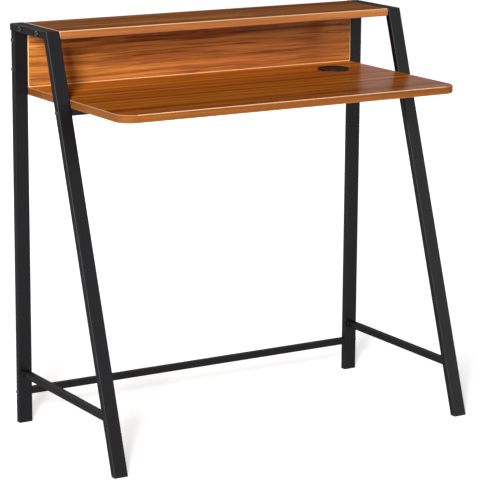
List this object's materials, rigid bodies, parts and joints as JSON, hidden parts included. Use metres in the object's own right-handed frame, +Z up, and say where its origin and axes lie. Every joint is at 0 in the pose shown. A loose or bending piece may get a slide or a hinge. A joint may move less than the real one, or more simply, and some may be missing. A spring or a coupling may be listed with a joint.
{
  "type": "computer desk",
  "caption": "Computer desk with black steel tube side frames, raked front legs, a woodgrain desktop, a raised rear shelf with a back panel, and a cable grommet with a lift-out cap.",
  "frame": {"origin": "centre of the footprint at floor level, bottom centre of the bounding box", "axes": "+Z up, +X to the sitter's right along the desk's width, the sitter at -Y and the back panel at +Y"},
  "size_m": [0.846, 0.435, 0.832],
  "materials": {
    "black_powder_coat": "satin black powder coat on welded steel tube",
    "woodgrain_board": "satin walnut woodgrain foil with pale bevelled edges",
    "black_plastic": "matte moulded black",
    "black_bolt": "black coated button head bolts",
    "zinc_steel": "zinc plated hidden inserts, nut blocks and screws"
  },
  "bodies": {
    "desk": {"left_rear_leg": "black_powder_coat", "left_top_rail": "black_powder_coat", "left_front_leg": "black_powder_coat", "left_side_stretcher": "black_powder_coat", "left_weld_beads": "black_powder_coat", "left_rear_foot": "black_plastic", "left_front_foot": "black_plastic", "left_rail_cap": "black_plastic", "right_rear_leg": "black_powder_coat", "right_top_rail": "black_powder_coat", "right_front_leg": "black_powder_coat", "right_side_stretcher": "black_powder_coat", "right_weld_beads": "black_powder_coat", "right_rear_foot": "black_plastic", "right_front_foot": "black_plastic", "right_rail_cap": "black_plastic", "rear_stretcher": "black_powder_coat", "desk_rail": "black_powder_coat", "desktop": "woodgrain_board", "top_shelf": "woodgrain_board", "back_panel": "woodgrain_board", "shelf_bolts": "black_bolt", "panel_bolts": "black_bolt", "rear_stretcher_bolts": "black_bolt", "desk_rail_bolts": "black_bolt", "shelf_inserts": "zinc_steel", "panel_inserts": "zinc_steel", "rear_stretcher_nuts": "zinc_steel", "desk_rail_nuts": "zinc_steel", "desk_rail_screws": "zinc_steel", "panel_screws": "zinc_steel", "grommet_liner": "black_plastic"},
    "cap": {"grommet_cap": "black_plastic"}
  },
  "joints": [
    {"name": "cap_lift", "type": "slide", "parent": "desk", "child": "cap", "axis": [0, 0, 1], "range_m": [0, 0.05]}
  ]
}
